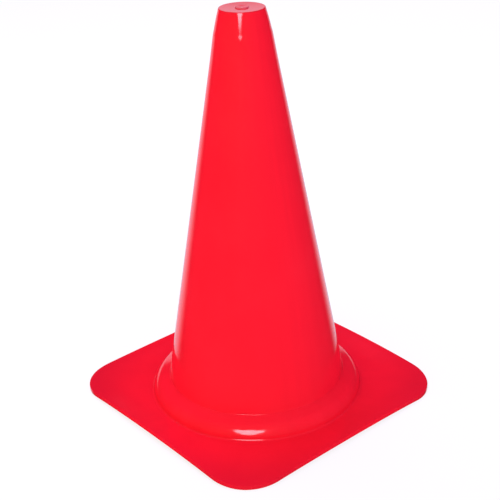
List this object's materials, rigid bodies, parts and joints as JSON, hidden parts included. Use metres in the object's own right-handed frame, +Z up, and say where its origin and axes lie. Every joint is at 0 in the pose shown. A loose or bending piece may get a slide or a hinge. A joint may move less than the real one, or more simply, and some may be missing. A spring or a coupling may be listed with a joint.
{
  "type": "sports marker cone",
  "caption": "Hollow moulded marker cone with a flat closed tip, a raised collar at its foot and a thin square plate with rounded corners to stand on.",
  "frame": {"origin": "middle of the underside, on the cone's axis", "axes": "+Z up along the cone's axis towards the tip; +X and +Y square to the plate's straight edges"},
  "size_m": [0.209, 0.209, 0.3005],
  "materials": {
    "red_plastic": "glossy moulded surface, bright red all through",
    "gate_cut": "same red plastic, left rough where the gate was cut off"
  },
  "bodies": {
    "root": {"base_plate": "red_plastic", "foot_collar": "red_plastic", "cone_wall": "red_plastic", "nose_wall": "red_plastic", "tip_disc": "red_plastic", "gate_boss": "gate_cut"}
  },
  "joints": []
}
